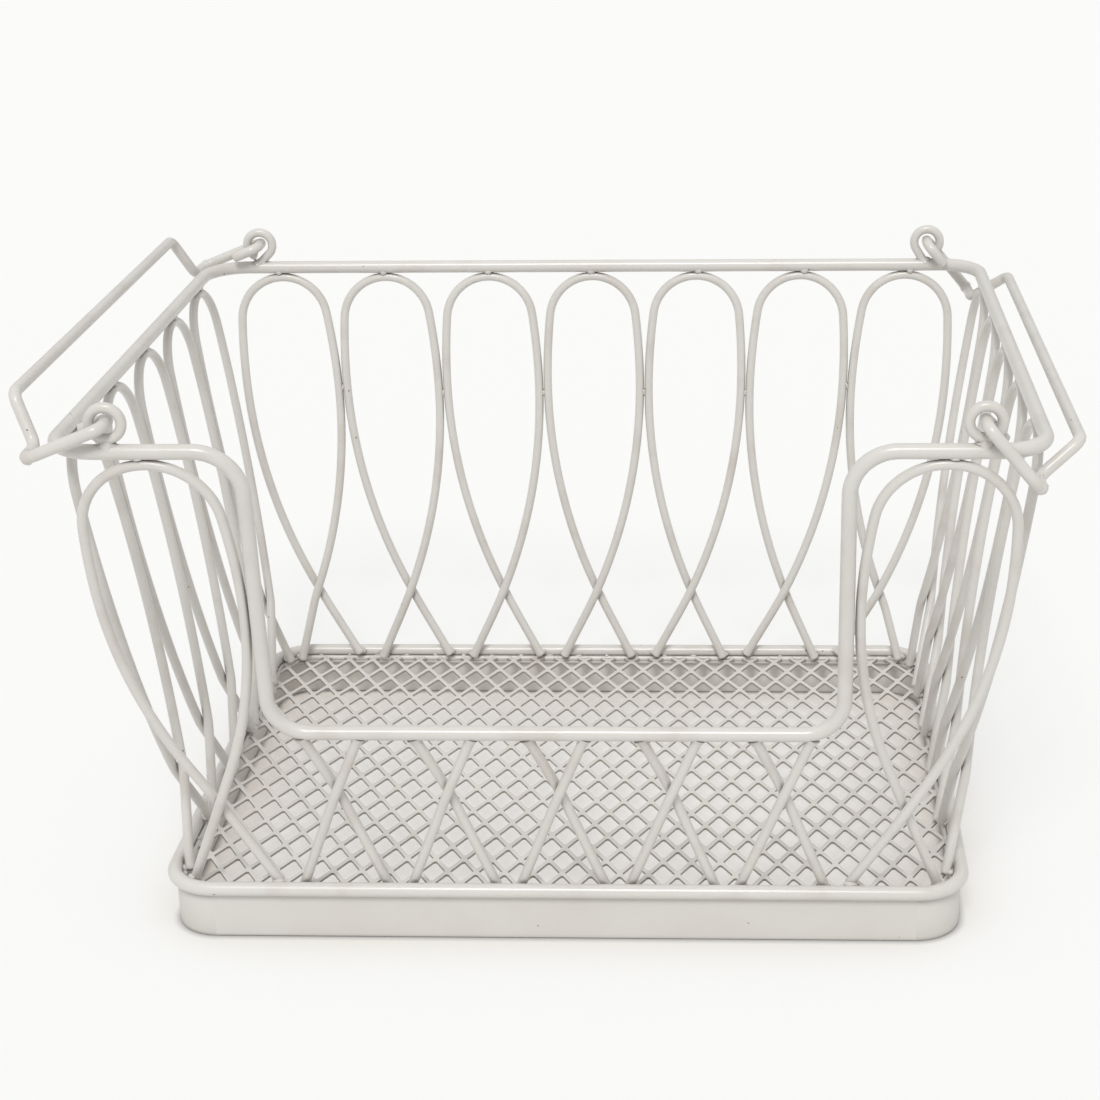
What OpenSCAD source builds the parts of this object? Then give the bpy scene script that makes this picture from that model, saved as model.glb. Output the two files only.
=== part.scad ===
// Wire basket with a cut-out front and two swinging wire handles.
// Millimetres, +Z up, origin on the surface it stands on, at the middle of the base.

/* [Rim] */
// Length of the top rim between wire centres, along X
rim_length = 500; // [490:1:510]
// Width of the top rim between wire centres, along Y
rim_width = 374; // [366:1:380]
// Height of the top rim's wire centre
rim_height = 293; // [286:1:300]
// Diameter of the rim wires
rim_wire = 8; // [7:0.5:8]
// Corner radius of the top rim's wire centre
rim_corner = 25; // [22:1:28]

/* [Front cut-out] */
// Width of the cut-out between wire centres
cutout_width = 303; // [290:1:303]
// Height of the wire centre along the bottom of the cut-out
cutout_height = 130.4; // [125:0.2:140]
// Bend radius at the top of the cut-out
cutout_upper_bend = 24; // [18:1:26]
// Bend radius at the bottom of the cut-out
cutout_lower_bend = 21; // [16:1:24]
// Inward lean of the cut-out, in degrees
cutout_lean = 5.7; // [5:0.1:6.4]

/* [Base] */
// Length of the base rim between wire centres
base_length = 439; // [436:1:442]
// Width of the base rim between wire centres
base_width = 322; // [320:1:324]
// Height of the base rim's wire centre
base_height = 30.2; // [28:0.2:34]
// Corner radius of the base rim's wire centre
base_corner = 26; // [24:1:30]
// Thickness of the band under the base rim
band_thickness = 1.5; // [1:0.1:2]
// Distance of the band's outer face inside the base rim's wire centre
band_inset = 0.6; // [0.2:0.1:1]

/* [Floor mesh] */
// Diameter of the border wire under the edge of the mesh
border_wire = 3; // [2.5:0.25:3]
// Distance between neighbouring mesh openings along X
mesh_pitch = 16.1; // [15.5:0.1:18]
// Distance between neighbouring mesh openings along Y
mesh_opening = 28.6; // [27:0.1:31]
// Width of a mesh strand
mesh_strand = 2.4; // [2:0.1:3]
// Thickness of the mesh
mesh_thickness = 1.4; // [1:0.1:1.6]
// Height of the middle of the mesh
mesh_height = 26.2; // [25:0.1:26.2]

/* [Hoops] */
// Diameter of the hoop wire
hoop_wire = 5.5; // [5:0.25:5.5]
// Bend radius at the top of the back and side hoops
hoop_bend = 28.2; // [27:0.1:28.2]
// Bend radius at the top of the two full front hoops
front_hoop_bend = 36; // [34:0.1:36.2]
// Distance between the back hoops at their tops
back_pitch = 68.6; // [68.4:0.1:69]
// Distance between the back hoops near the floor
back_foot_pitch = 62; // [61.5:0.1:63]
// Distance between the side hoops at their tops
side_pitch = 68.3; // [68.2:0.1:69]
// Distance between the side hoops near the floor
side_foot_pitch = 59.2; // [59.2:0.1:60]
// Distance of the middle side hoop behind the middle of the rim
side_shift = 8; // [6:1:8]
// Distance of the full front hoops from the middle, at their tops
front_hoop_place = 202.5; // [202:0.5:204]
// Distance between the pairs of short front wires
strut_pitch = 60; // [58:1:61]

/* [Handles] */
// Diameter of the handle wire
handle_wire = 6.4; // [6:0.1:6.4]
// Distance between the two handles' swing axes
axis_spacing = 434.5; // [432:0.5:436]
// Length of a handle's lower arm
lower_arm = 43.7; // [43.5:0.1:45]
// Length of a handle's upper arm
upper_arm = 27.5; // [25:0.5:29]
// Angle between the two arms
elbow = 87; // [84:1:90]
// Rest angle of the left handle's lower arm below the outward horizontal
left_rest = 22; // [20:1:24]
// Rest angle of the right handle's lower arm below the outward horizontal
right_rest = 50; // [48:1:53]

/* [Colour] */
// Paint colour
paint = "gainsboro"; // ["gainsboro", "silver", "white"]

/* [Hidden] */
$fn = 48;
weld_gap = 0.04;

// Fineness of the swept wires: sides, largest bend per stretch in degrees, longest bent stretch.
sweep_sides = 10;
sweep_angle = 14;
sweep_length = 24;

rim_radius = rim_wire / 2;
hoop_radius = hoop_wire / 2;
handle_radius = handle_wire / 2;

// The band and the border wire stand one inside the other under the base rim.
band_height = base_height - rim_radius;
band_x = base_length / 2 - band_inset;
band_y = base_width / 2 - band_inset;
band_corner = base_corner - band_inset;
border_inset = band_thickness + border_wire / 2 + weld_gap;
border_x = band_x - border_inset;
border_y = band_y - border_inset;
border_corner = band_corner - border_inset;
border_height = mesh_height - mesh_thickness / 2 - border_wire / 2 - weld_gap;

// The mesh reaches past the middle of the border wire. It was cut a little askew: its rows and
// columns turn by these degrees, and one knot lies this far from the middle of the base.
mesh_lap = 1;
row_turn = 0.8;
column_turn = 1.4;
mesh_knot = [10.4, 7.6];

// A wall runs from under the top rim to the inner side of the base rim.
hoop_top = rim_height - rim_radius - hoop_radius - weld_gap;
hoop_foot = mesh_height + mesh_thickness / 2 + 3.3;
foot_inset = rim_radius + hoop_radius + 0.8;
back_lean = atan((rim_width / 2 - base_width / 2 + foot_inset) / (hoop_top - base_height));
side_lean = atan((rim_length / 2 - base_length / 2 + foot_inset) / (hoop_top - base_height));

// Hoop legs: bend, long flank, then inwards to the crossing and on to the foot.
// Half of the gap that keeps the two legs apart where they cross.
cross_offset = hoop_radius + 0.13;
cross_bend = 40;
hoop_return = 6.2;
front_return = 5.6;
back_bend_angle = 83.7;
side_bend_angle = 84.3;
hoop_flank = 407;
hoop_inward = 348;
hoop_cross_angle = 24.2;
hoop_foot_angle = 2.5;
front_bend_angle = 84.3;
front_flank = 355;
front_inward = 271;
front_inward_angle = 25.3;
front_hoop_lean = 4.7;

// A leg that stands in a corner of the base turns further inwards and steeper, by these degrees.
back_corner_turns = [7.5, 6];
side_corner_turns = [3, 12];
front_corner_turn = 7;
corner_foot_bend = 60;

// Short wires under the cut-out.
strut_top = cutout_height - rim_radius - weld_gap - 1.2;
strut_cross = 92;
strut_upper_angle = 22.8;
strut_lower_angle = 20.2;
cutout_drop = (rim_height - cutout_height) / cos(cutout_lean);
cutout_y = rim_width / 2 - cutout_drop * sin(cutout_lean);
strut_lean = atan((cutout_y - base_width / 2 + foot_inset) / (cutout_height - base_height));

// Eyes and handles.
eye_radius = 8.2;
eye_height = rim_height + rim_radius + eye_radius + hoop_radius + weld_gap;
outer_arm_y = rim_width / 2 + 9;
tail_y = rim_width / 2 - 9;
pin_bend = 6;
arm_bend = 8;
jog_y = rim_width / 2 - 13;
arm_shift = 10;
grip_y = jog_y - arm_shift;
arm_slant = atan(arm_shift / upper_arm);
arm_turn = 90 - arm_slant;
arm_setback = arm_bend * tan(arm_turn / 2);
tail_length = 11;

HOOPS_BACK = [for (i = [1:7]) str("back_hoop_", i)];
HOOPS_LEFT = [for (i = [1:5]) str("left_hoop_", i)];
HOOPS_RIGHT = [for (i = [1:5]) str("right_hoop_", i)];
STRUTS = [for (i = [1:10]) str("front_strut_", i)];

// Steps bend a wire from the origin, where it heads along +X. They are ["run", length],
// ["turn", radius, angle], to the left where the angle is positive, and ["roll", angle] about the
// wire's own axis.
function move(v) = [[1, 0, 0, v[0]], [0, 1, 0, v[1]], [0, 0, 1, v[2]], [0, 0, 0, 1]];

function about_x(a) = [[1, 0, 0, 0], [0, cos(a), -sin(a), 0], [0, sin(a), cos(a), 0], [0, 0, 0, 1]];

function about_z(a) = [[cos(a), -sin(a), 0, 0], [sin(a), cos(a), 0, 0], [0, 0, 1, 0], [0, 0, 0, 1]];

// Where a step, or the first part of it, leads.
function advance(step, part = 1) =
    step[0] == "run" ? move([step[1] * part, 0, 0]) :
    step[0] == "roll" ? about_x(step[1]) :
    let (centre = [0, sign(step[2]) * step[1], 0])
    move(centre) * about_z(step[2] * part) * move(-centre);

// How many stretches a step is drawn in.
function stretches(step) =
    step[0] == "run" ? 1 :
    step[0] == "roll" ? 0 :
    ceil(max(abs(step[2]) / sweep_angle, step[1] * abs(step[2]) * PI / 180 / sweep_length));

// The places of a wire's cross-sections after its start, none of them twisted against the next.
function stations(steps, i = 0, place = move([0, 0, 0]), rolled = 0) =
    i >= len(steps) ? [] :
    let (step = steps[i], count = stretches(step))
    concat(
        [for (j = [1:1:count]) place * advance(step, j / count) * about_x(-rolled)],
        stations(steps, i + 1, place * advance(step), rolled + (step[0] == "roll" ? step[1] : 0))
    );

// A wire's round cross-section at a place.
function section(place, radius) =
    [for (k = [0:sweep_sides - 1])
        let (a = (k + 0.5) * 360 / sweep_sides, p = place * [0, radius * cos(a), radius * sin(a), 1])
        [p[0], p[1], p[2]]];

function backwards(list) = [for (i = [len(list) - 1:-1:0]) list[i]];

// One wire through a list of cross-sections, which may close on itself.
module swept_wire(sections, closed = false) {
    n = sweep_sides;
    count = len(sections);
    sides = [for (i = [0:closed ? count - 1 : count - 2], k = [0:n - 1])
        let (next = (i + 1) % count) [i * n + k, next * n + k, next * n + (k + 1) % n, i * n + (k + 1) % n]];
    caps = [[for (k = [0:n - 1]) k], [for (k = [n - 1:-1:0]) (count - 1) * n + k]];
    polyhedron(points = [for (ring = sections) each ring], faces = closed ? sides : concat(sides, caps));
}

// A closed rectangular ring of wire with round corners, in the XY plane.
module wire_ring(diameter, half_x, half_y, corner) {
    run_x = half_x - corner;
    run_y = half_y - corner;
    for (side = [-1, 1]) {
        translate([0, side * half_y, 0]) rotate([0, 90, 0])
            cylinder(d = diameter, h = 2 * run_x, center = true);
        translate([side * half_x, 0, 0]) rotate([90, 0, 0])
            cylinder(d = diameter, h = 2 * run_y, center = true);
    }
    for (x = [-1, 1], y = [-1, 1])
        translate([x * run_x, y * run_y, 0]) rotate([0, 0, atan2(y, x) - 45])
            rotate_extrude(angle = 90) translate([corner, 0]) circle(d = diameter);
}

// A flat rectangle with round corners.
module round_rectangle(half_x, half_y, corner) {
    square([2 * half_x, 2 * (half_y - corner)], center = true);
    square([2 * (half_x - corner), 2 * half_y], center = true);
    for (x = [-1, 1], y = [-1, 1])
        translate([x * (half_x - corner), y * (half_y - corner)]) circle(r = corner);
}

module base_band() {
    color(paint) linear_extrude(band_height) difference() {
        round_rectangle(band_x, band_y, band_corner);
        round_rectangle(band_x - band_thickness, band_y - band_thickness, band_corner - band_thickness);
    }
}

module base_rim() {
    color(paint) translate([0, 0, base_height])
        wire_ring(rim_wire, base_length / 2, base_width / 2, base_corner);
}

module floor_border() {
    color(paint) translate([0, 0, border_height]) wire_ring(border_wire, border_x, border_y, border_corner);
}

// A flat sheet of expanded metal: the strands are what the diamond openings leave.
module floor_mesh() {
    across = [mesh_pitch, -mesh_pitch * tan(row_turn)] / 2;
    along = [-mesh_opening * tan(column_turn), mesh_opening] / 2;
    opening = 1 - mesh_strand / (mesh_pitch * cos(atan(mesh_pitch / mesh_opening)));
    columns = ceil(2 * border_x / mesh_pitch) + 2;
    rows = ceil(2 * border_y / mesh_opening) + 1;
    diamond = opening * [across, along, -across, -along];
    bottom = mesh_height - mesh_thickness / 2;
    color(paint) translate([0, 0, bottom]) linear_extrude(mesh_thickness) difference() {
        round_rectangle(border_x + mesh_lap, border_y + mesh_lap, border_corner + mesh_lap);
        for (i = [-columns:columns], j = [-rows:rows]) {
            place = mesh_knot + i * across + j * along;
            inside = abs(place[0]) < border_x + mesh_pitch / 2 && abs(place[1]) < border_y + mesh_opening / 2;
            if ((i + j) % 2 != 0 && inside) translate(place) polygon(diamond);
        }
    }
}

// The top rim starts at the middle of the back bar and goes round clockwise.
module top_rim() {
    flat_x = rim_length / 2 - rim_corner;
    flat_y = rim_width - 2 * rim_corner;
    front_run = flat_x - cutout_width / 2 - cutout_upper_bend;
    drop = cutout_drop - cutout_upper_bend - cutout_lower_bend;
    corner = ["turn", rim_corner, -90];
    down = ["roll", -90 - cutout_lean];
    level = ["roll", 90 + cutout_lean];
    path = [
        ["run", flat_x], corner,
        ["run", flat_y], corner,
        ["run", front_run], down,
        ["turn", cutout_upper_bend, 90], ["run", drop],
        ["turn", cutout_lower_bend, -90], ["run", cutout_width - 2 * cutout_lower_bend],
        ["turn", cutout_lower_bend, -90], ["run", drop],
        ["turn", cutout_upper_bend, 90], level,
        ["run", front_run], corner,
        ["run", flat_y], corner,
        ["run", flat_x]
    ];
    color(paint) translate([0, rim_width / 2, rim_height])
        swept_wire([for (place = stations(path)) section(place, rim_radius)], closed = true);
}

// Places a wall's own plane: X along the wall, Y up it, Z outwards. The azimuth is 0 at the front.
module on_wall(azimuth, distance, height, lean) {
    rotate([0, 0, azimuth]) translate([0, -distance, height]) rotate([90 + lean, 0, 0]) children();
}

// Leg bend that brings the wire back into the wall's plane after the crossing.
function back_bend(angle) = [["roll", 90], ["turn", cross_bend, -angle], ["roll", -90]];

function bend_length(angle) = cross_bend * abs(angle) * PI / 180;

// One wire drawn both ways from the origin, its second leg turned half round about Y.
module both_ways(leg, partner) {
    one_leg = [for (place = stations(leg)) section(place, hoop_radius)];
    other_leg = [for (place = stations(partner))
        let (ring = section(place, hoop_radius))
        [for (k = [0:sweep_sides - 1]) let (p = ring[sweep_sides - 1 - k]) [-p[0], p[1], -p[2]]]];
    swept_wire(concat(backwards(other_leg), [section(move([0, 0, 0]), hoop_radius)], one_leg));
}

// Leg of the back and side hoops, down a wall of a given slant height. The corner turns are how much
// further inwards the leg goes after the crossing, and how much steeper.
function leg_steps(slant, bend_angle, corner_turns) =
    let (
        foot = corner_turns[1] > 0 ? ["turn", corner_foot_bend, corner_turns[1]]
            : ["turn", hoop_inward, -hoop_foot_angle],
        end_angle = hoop_cross_angle - foot[2],
        half_width = hoop_bend * sin(bend_angle) + hoop_flank * (1 - sin(bend_angle)),
        drop = hoop_bend * (1 - cos(bend_angle)) + hoop_flank * cos(bend_angle)
            + hoop_inward * sin(hoop_cross_angle) + foot[1] * abs(sin(end_angle) - sin(hoop_cross_angle)),
        roll = asin(cross_offset / half_width),
        inward = hoop_return + corner_turns[0]
    )
    concat(
        [["turn", hoop_bend, -bend_angle], ["turn", hoop_flank, bend_angle - 90],
         ["roll", -roll], ["turn", hoop_inward, -hoop_cross_angle]],
        back_bend(inward),
        [foot, ["run", (slant - drop) / cos(end_angle) - bend_length(inward)]]
    );

// Leg of the full front hoops, which cross on a straight stretch.
function front_leg_steps(slant, corner_turn) =
    let (
        half_width = front_hoop_bend * sin(front_bend_angle) + front_flank * (1 - sin(front_bend_angle)),
        left_over = half_width - front_inward * (1 - cos(front_inward_angle)),
        to_cross = left_over / sin(front_inward_angle),
        drop = front_hoop_bend * (1 - cos(front_bend_angle)) + front_flank * cos(front_bend_angle)
            + front_inward * sin(front_inward_angle) + to_cross * cos(front_inward_angle),
        roll = asin(cross_offset / half_width),
        inward = front_return + corner_turn
    )
    concat(
        [["turn", front_hoop_bend, -front_bend_angle], ["turn", front_flank, front_bend_angle - 90],
         ["roll", -roll], ["turn", front_inward, -front_inward_angle], ["run", to_cross]],
        back_bend(inward),
        [["run", (slant - drop) / cos(front_inward_angle) - bend_length(inward)]]
    );

// One back or side hoop, at its top and foot places along its wall. The corner is -1 or 1 where
// the leg at that end of the wall stands in a corner of the base, and otherwise 0.
module wall_hoop(azimuth, distance, lean, top_place, foot_place, bend_angle, corner, corner_turns) {
    slant = (hoop_top - hoop_foot) / cos(lean);
    fan = atan((foot_place - top_place) / slant);
    leg_turns = corner < 0 ? corner_turns : [0, 0];
    partner_turns = corner > 0 ? [-corner_turns[0], corner_turns[1]] : [0, 0];
    leg = leg_steps(slant / cos(fan), bend_angle, leg_turns);
    partner = leg_steps(slant / cos(fan), bend_angle, partner_turns);
    on_wall(azimuth, distance, hoop_top, lean)
        translate([top_place, 0, 0]) rotate([0, 0, fan]) both_ways(leg, partner);
}

module back_hoop(i) {
    place = i - 4;
    corner = i == 1 ? 1 : i == 7 ? -1 : 0;
    color(paint) wall_hoop(180, rim_width / 2, back_lean, -back_pitch * place, -back_foot_pitch * place,
        back_bend_angle, corner, back_corner_turns);
}

module side_hoop(azimuth, i) {
    place = i - 3;
    side = sign(azimuth);
    top = side * (side_shift + side_pitch * place);
    foot = side * (side_shift + 2 + side_foot_pitch * place);
    color(paint) wall_hoop(azimuth, rim_length / 2, side_lean, top, foot,
        side_bend_angle, i == 5 ? side : 0, side_corner_turns);
}

module front_hoop(side) {
    slant = (hoop_top - hoop_foot) / cos(back_lean) / cos(front_hoop_lean);
    leg = front_leg_steps(slant, side < 0 ? front_corner_turn : 0);
    partner = front_leg_steps(slant, side > 0 ? -front_corner_turn : 0);
    color(paint) on_wall(0, rim_width / 2, hoop_top, back_lean)
        translate([side * front_hoop_place, -front_hoop_bend * (1 - cos(front_hoop_lean)), 0])
            rotate([0, 0, -side * front_hoop_lean]) both_ways(leg, partner);
}

module front_hoop_left() {
    front_hoop(-1);
}

module front_hoop_right() {
    front_hoop(1);
}

// A short front wire is drawn both ways from the point where it crosses its partner.
module front_strut(i) {
    pair = ceil(i / 2);
    side = i % 2 == 1 ? 1 : -1;
    down_wall = (cutout_height - strut_cross) / cos(strut_lean);
    upper = ((strut_top - strut_cross) / cos(strut_lean)) / cos(strut_upper_angle);
    lower = ((strut_cross - hoop_foot) / cos(strut_lean)) / cos(strut_lower_angle);
    up_bend = asin(cross_offset / upper);
    down_bend = asin(cross_offset / lower);
    up = [["roll", 90], ["turn", cross_bend, -up_bend], ["run", upper - bend_length(up_bend)]];
    down = [["turn", cross_bend, strut_lower_angle - strut_upper_angle], ["roll", 90],
        ["turn", cross_bend, down_bend], ["run", lower - bend_length(down_bend)]];
    color(paint) on_wall(0, cutout_y, cutout_height, strut_lean)
        translate([strut_pitch * (pair - 3), -down_wall, side * cross_offset])
            rotate([0, side > 0 ? 0 : 180, 0]) rotate([0, 0, 90 - strut_upper_angle]) both_ways(up, down);
}

module eye(side_x, side_y) {
    color(paint) translate([side_x * axis_spacing / 2, side_y * rim_width / 2, eye_height])
        rotate([90, 0, 0]) rotate_extrude() translate([eye_radius, 0]) circle(d = hoop_wire);
}

module eye_front_left() {
    eye(-1, -1);
}

module eye_front_right() {
    eye(1, -1);
}

module eye_rear_left() {
    eye(-1, 1);
}

module eye_rear_right() {
    eye(1, 1);
}

// Half of a handle, from the middle of the grip to the cut tail.
function half_handle_steps() =
    let (upper_length = sqrt(upper_arm * upper_arm + arm_shift * arm_shift))
    [
        ["run", grip_y - arm_setback], ["roll", elbow - 180],
        ["turn", arm_bend, arm_turn], ["run", upper_length - 2 * arm_setback],
        ["turn", arm_bend, -arm_turn], ["roll", 180 - elbow],
        ["run", outer_arm_y - arm_bend - jog_y - arm_setback],
        ["turn", arm_bend, -90], ["run", lower_arm - arm_bend - pin_bend],
        ["turn", pin_bend, -90], ["run", outer_arm_y - tail_y - 2 * pin_bend],
        ["turn", pin_bend, -90], ["run", tail_length]
    ];

// A handle on the right-hand side, its lower arm turned down from the outward horizontal.
module handle(rest) {
    grip = [lower_arm + upper_arm * cos(elbow), 0, upper_arm * sin(elbow)];
    start = move(grip) * about_z(-90);
    front_half = [for (place = stations(half_handle_steps())) section(start * place, handle_radius)];
    rear_half = [for (ring = front_half) [for (p = ring) [p[0], -p[1], p[2]]]];
    color(paint) translate([axis_spacing / 2, 0, eye_height]) rotate([0, rest, 0])
        swept_wire(concat(backwards(rear_half), [section(start, handle_radius)], front_half));
}

module left_handle() {
    mirror([1, 0, 0]) handle(left_rest);
}

module right_handle() {
    handle(right_rest);
}

base_band();
base_rim();
floor_border();
floor_mesh();
top_rim();
for (i = [1:7]) back_hoop(i);
for (i = [1:5]) side_hoop(-90, i);
for (i = [1:5]) side_hoop(90, i);
front_hoop_left();
front_hoop_right();
for (i = [1:10]) front_strut(i);
eye_front_left();
eye_front_right();
eye_rear_left();
eye_rear_right();
left_handle();
right_handle();
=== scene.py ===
import math
import random

import bmesh
import bpy
from mathutils import Matrix, Vector


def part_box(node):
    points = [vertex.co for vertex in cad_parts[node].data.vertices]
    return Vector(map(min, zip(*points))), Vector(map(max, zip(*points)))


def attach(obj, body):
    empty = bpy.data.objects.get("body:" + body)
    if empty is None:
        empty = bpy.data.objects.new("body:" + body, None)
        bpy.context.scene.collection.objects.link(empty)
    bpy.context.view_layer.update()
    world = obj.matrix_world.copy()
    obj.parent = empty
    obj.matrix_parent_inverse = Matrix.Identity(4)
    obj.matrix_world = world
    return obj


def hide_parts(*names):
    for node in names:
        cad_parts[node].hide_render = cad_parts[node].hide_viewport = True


bl_info = {
    "name": "Wire Basket",
    "version": (1, 0, 0),
    "blender": (4, 5, 0),
    "location": "3D View > Sidebar > Wire Basket",
    "description": "Dresses a welded, painted wire basket with two swinging handles",
    "category": "Object",
}

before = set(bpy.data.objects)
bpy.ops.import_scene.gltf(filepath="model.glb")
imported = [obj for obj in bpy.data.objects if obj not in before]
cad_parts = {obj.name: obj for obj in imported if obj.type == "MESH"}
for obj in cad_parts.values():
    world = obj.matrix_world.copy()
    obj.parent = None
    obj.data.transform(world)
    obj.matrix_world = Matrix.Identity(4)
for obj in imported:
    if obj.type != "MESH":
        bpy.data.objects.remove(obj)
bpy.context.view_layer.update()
MM = 0.001

# The rims stand in the frame; every other wire is placed from them, in millimetres.
RIM_RADIUS = 4.0


def extent(node):
    """A node's lowest and highest corner in millimetres."""
    low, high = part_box(node)
    return [value / MM for value in low], [value / MM for value in high]


TOP_HIGH = extent("top_rim")[1]
BASE_HIGH = extent("base_rim")[1]
EYE_LOW, EYE_HIGH = extent("eye_front_right")
BORDER_HIGH = extent("floor_border")[1]
MESH_LOW, MESH_HIGH = extent("floor_mesh")
RIM_HALF_X = TOP_HIGH[0] - RIM_RADIUS
RIM_HALF_Y = TOP_HIGH[1] - RIM_RADIUS
RIM_Z = TOP_HIGH[2] - RIM_RADIUS
BASE_HALF_X = BASE_HIGH[0] - RIM_RADIUS
BASE_HALF_Y = BASE_HIGH[1] - RIM_RADIUS
BASE_Z = BASE_HIGH[2] - RIM_RADIUS
AXIS_X = (EYE_LOW[0] + EYE_HIGH[0]) / 2
AXIS_Z = (EYE_LOW[2] + EYE_HIGH[2]) / 2

# Top rim, in millimetres and degrees.
RIM_CORNER = 25.0
CUTOUT_WIDTH = 303.0
CUTOUT_HEIGHT = 130.4
CUTOUT_UPPER_BEND = 24.0
CUTOUT_LOWER_BEND = 21.0
CUTOUT_LEAN = 5.7

# Base, in millimetres and degrees.
BASE_CORNER = 26.0
BORDER_WIRE = 3.0
BORDER_CORNER = 22.4
MESH_PITCH = 16.1
MESH_OPENING = 28.6
MESH_STRAND = 2.5
MESH_ROUNDING = 1.1
MESH_KNOT = Vector((10.4, 7.6))
MESH_ACROSS = Vector((MESH_PITCH, -MESH_PITCH * math.tan(math.radians(0.8)))) / 2
MESH_ALONG = Vector((-MESH_OPENING * math.tan(math.radians(1.4)), MESH_OPENING)) / 2
MESH_EDGE = 1.0
SMALLEST_OPENING = 8.0
FOLD_INSET = 1.5
TACK_INSET = 3.4
FOLD_WIDTH = 3.4

# Hoops, in millimetres and degrees.
HOOP_WIRE = 5.5
HOOP_TOP = RIM_Z - RIM_RADIUS - HOOP_WIRE / 2 - 0.04
HOOP_FOOT = 30.2
FOOT_INSET = RIM_RADIUS + HOOP_WIRE / 2 + 0.8
BACK_LEAN = math.degrees(math.atan((RIM_HALF_Y - BASE_HALF_Y + FOOT_INSET) / (HOOP_TOP - BASE_Z)))
SIDE_LEAN = math.degrees(math.atan((RIM_HALF_X - BASE_HALF_X + FOOT_INSET) / (HOOP_TOP - BASE_Z)))
CROSS_OFFSET = HOOP_WIRE / 2 + 0.13
CROSS_BEND = 40.0
HOOP_BEND = 28.2
HOOP_FLANK = 407.0
HOOP_INWARD = 348.0
HOOP_CROSS_ANGLE = 24.2
HOOP_FOOT_ANGLE = 2.5
HOOP_RETURN = 6.2
BACK_BEND_ANGLE = 83.7
SIDE_BEND_ANGLE = 84.3
BACK_PITCH = 68.6
BACK_FOOT_PITCH = 62.0
SIDE_PITCH = 68.3
SIDE_FOOT_PITCH = 59.2
SIDE_SHIFT = 8.0
BACK_CORNER_TURNS = (7.5, 6.0)
SIDE_CORNER_TURNS = (3.0, 12.0)
CORNER_FOOT_BEND = 60.0
FRONT_BEND = 36.0
FRONT_BEND_ANGLE = 84.3
FRONT_FLANK = 355.0
FRONT_INWARD = 271.0
FRONT_INWARD_ANGLE = 25.3
FRONT_RETURN = 5.6
FRONT_CORNER_TURN = 7.0
FRONT_HOOP_PLACE = 202.5
FRONT_HOOP_LEAN = 4.7

# Short wires under the cut-out.
STRUT_PITCH = 60.0
STRUT_TOP = CUTOUT_HEIGHT - RIM_RADIUS - 1.24
STRUT_CROSS = 92.0
STRUT_UPPER_ANGLE = 22.8
STRUT_LOWER_ANGLE = 20.2
CUTOUT_Y = RIM_HALF_Y - (RIM_Z - CUTOUT_HEIGHT) * math.tan(math.radians(CUTOUT_LEAN))
STRUT_LEAN = math.degrees(math.atan((CUTOUT_Y - BASE_HALF_Y + FOOT_INSET) / (CUTOUT_HEIGHT - BASE_Z)))

# Eyes and handles, in millimetres and degrees.
EYE_RADIUS = 8.2
HANDLE_WIRE = 6.4
LOWER_ARM = 43.7
UPPER_ARM = 27.5
ELBOW = 87.0
ARM_SHIFT = 10.0
ARM_BEND = 8.0
PIN_BEND = 6.0
TAIL_LENGTH = 11.0
LEFT_REST = 22.0
RIGHT_REST = 50.0

# Camera solved from the photograph: place in millimetres, angles in degrees, pixels of a 1100 frame.
CAMERA_PLACE = (98.82, -1210.21, 643.5)
CAMERA_YAW = -2.44
CAMERA_PITCH = 20.77
CAMERA_ROLL = -0.85
FOCAL_PIXELS = 2196.77
CENTRE_PIXELS = (655.89, 523.56)
FRAME_PIXELS = 1100
SENSOR = 36.0


def linear(hex_colour):
    """An sRGB hex colour as linear RGBA."""
    values = [int(hex_colour[i:i + 2], 16) / 255 for i in (1, 3, 5)]
    return [v / 12.92 if v <= 0.04045 else ((v + 0.055) / 1.055) ** 2.4 for v in values] + [1.0]


def add(tree, kind, settings=None, links=None, values=None):
    """Adds a node with its settings, its input values and its links."""
    node = tree.nodes.new(kind)
    for name, value in (settings or {}).items():
        setattr(node, name, value)
    for name, value in (values or {}).items():
        node.inputs[name].default_value = value
    for name, source in (links or {}).items():
        tree.links.new(source, node.inputs[name])
    return node


def blend_colour(tree, share, first, second):
    """Mixes two colours, each a hex colour or another node's output."""
    node = add(tree, "ShaderNodeMix", {"data_type": "RGBA"}, {"Factor": share})
    for socket, colour in ((node.inputs[6], first), (node.inputs[7], second)):
        if isinstance(colour, str):
            socket.default_value = linear(colour)
        else:
            tree.links.new(colour, socket)
    return node.outputs[2]


def calculate(tree, operation, first, second):
    """A sum on two values, each a number or another node's output."""
    node = add(tree, "ShaderNodeMath", {"operation": operation})
    for socket, value in zip(node.inputs, (first, second)):
        if isinstance(value, float):
            socket.default_value = value
        else:
            tree.links.new(value, socket)
    return node.outputs[0]


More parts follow.
